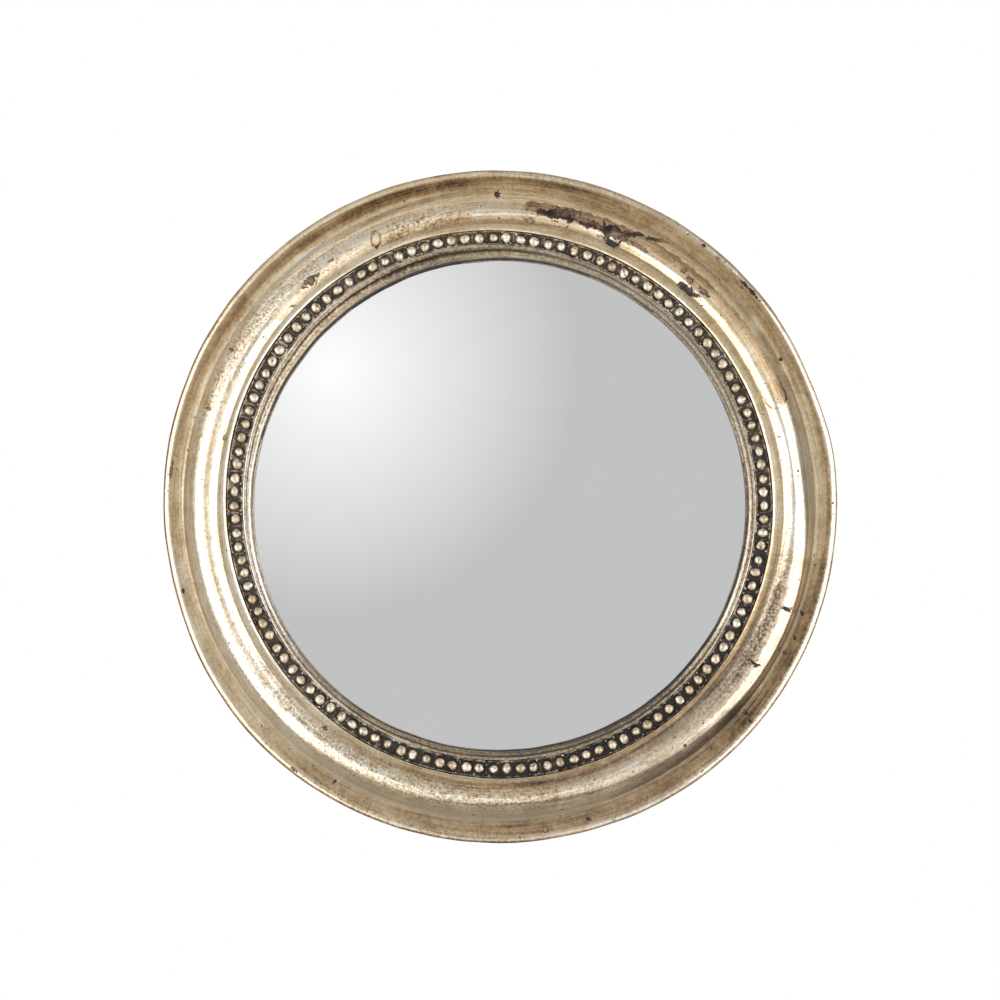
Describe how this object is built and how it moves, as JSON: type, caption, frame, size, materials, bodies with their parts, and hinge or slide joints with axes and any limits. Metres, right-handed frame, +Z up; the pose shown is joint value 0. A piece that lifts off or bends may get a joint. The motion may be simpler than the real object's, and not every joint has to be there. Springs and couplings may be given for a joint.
{
  "type": "convex wall mirror",
  "caption": "Round convex mirror in a turned, silver-leafed wooden frame with a roll moulding and a bead course, hung on a wall by a ring on its back.",
  "frame": {"origin": "on the wall, at the point where the hanging ring bears on its hook", "axes": "+Z up the wall, +Y into the wall, so the mirror faces -Y, and +X to the right as it is looked at"},
  "size_m": [0.3, 0.026, 0.3],
  "materials": {
    "leafed_wood": "gesso, bole and toned silver leaf, rubbed and worn",
    "bare_wood": "sawn, stained and aged",
    "leafed_composition": "pressed chalk-and-glue composition, leafed and darkened",
    "silvered_glass": "silvered on the back",
    "felt": "black wool felt",
    "pasteboard": "grey-brown pasteboard",
    "hardboard": "pressed fibre, smooth face out",
    "brass": "dulled stamped brass",
    "cork": "agglomerated cork"
  },
  "bodies": {
    "frame": {"moulding_segment_1": "leafed_wood", "back_segment_1": "bare_wood", "moulding_segment_2": "leafed_wood", "back_segment_2": "bare_wood", "moulding_segment_3": "leafed_wood", "back_segment_3": "bare_wood", "moulding_segment_4": "leafed_wood", "back_segment_4": "bare_wood", "moulding_segment_5": "leafed_wood", "back_segment_5": "bare_wood", "moulding_segment_6": "leafed_wood", "back_segment_6": "bare_wood", "bead_strip_1": "leafed_composition", "bead_strip_2": "leafed_composition", "convex_glass": "silvered_glass", "felt_bedding": "felt", "spacer_ring": "pasteboard", "backboard": "hardboard", "turn_button_screws": "brass", "hanger_strap": "brass", "hanger_screw": "brass", "wall_bumper_left": "cork", "wall_bumper_right": "cork"},
    "turn_button_1": {"turn_button_1": "brass"},
    "turn_button_2": {"turn_button_2": "brass"},
    "turn_button_3": {"turn_button_3": "brass"},
    "turn_button_4": {"turn_button_4": "brass"},
    "hanger_ring": {"hanger_ring": "brass"}
  },
  "joints": [
    {"name": "turn_button_1_pivot", "type": "hinge", "parent": "frame", "child": "turn_button_1", "pos_m": [0.10998, -0.0032, -0.0791], "axis": [0, 1, 0], "continuous": true},
    {"name": "turn_button_2_pivot", "type": "hinge", "parent": "frame", "child": "turn_button_2", "pos_m": [-0.10998, -0.0032, -0.0791], "axis": [0, 1, 0], "continuous": true},
    {"name": "turn_button_3_pivot", "type": "hinge", "parent": "frame", "child": "turn_button_3", "pos_m": [-0.10998, -0.0032, -0.2061], "axis": [0, 1, 0], "continuous": true},
    {"name": "turn_button_4_pivot", "type": "hinge", "parent": "frame", "child": "turn_button_4", "pos_m": [0.10998, -0.0032, -0.2061], "axis": [0, 1, 0], "continuous": true},
    {"name": "hanger_ring_swing", "type": "hinge", "parent": "frame", "child": "hanger_ring", "pos_m": [0, -0.00222, -0.0106], "axis": [-1, 0, 0], "range_deg": [0, 170]}
  ]
}
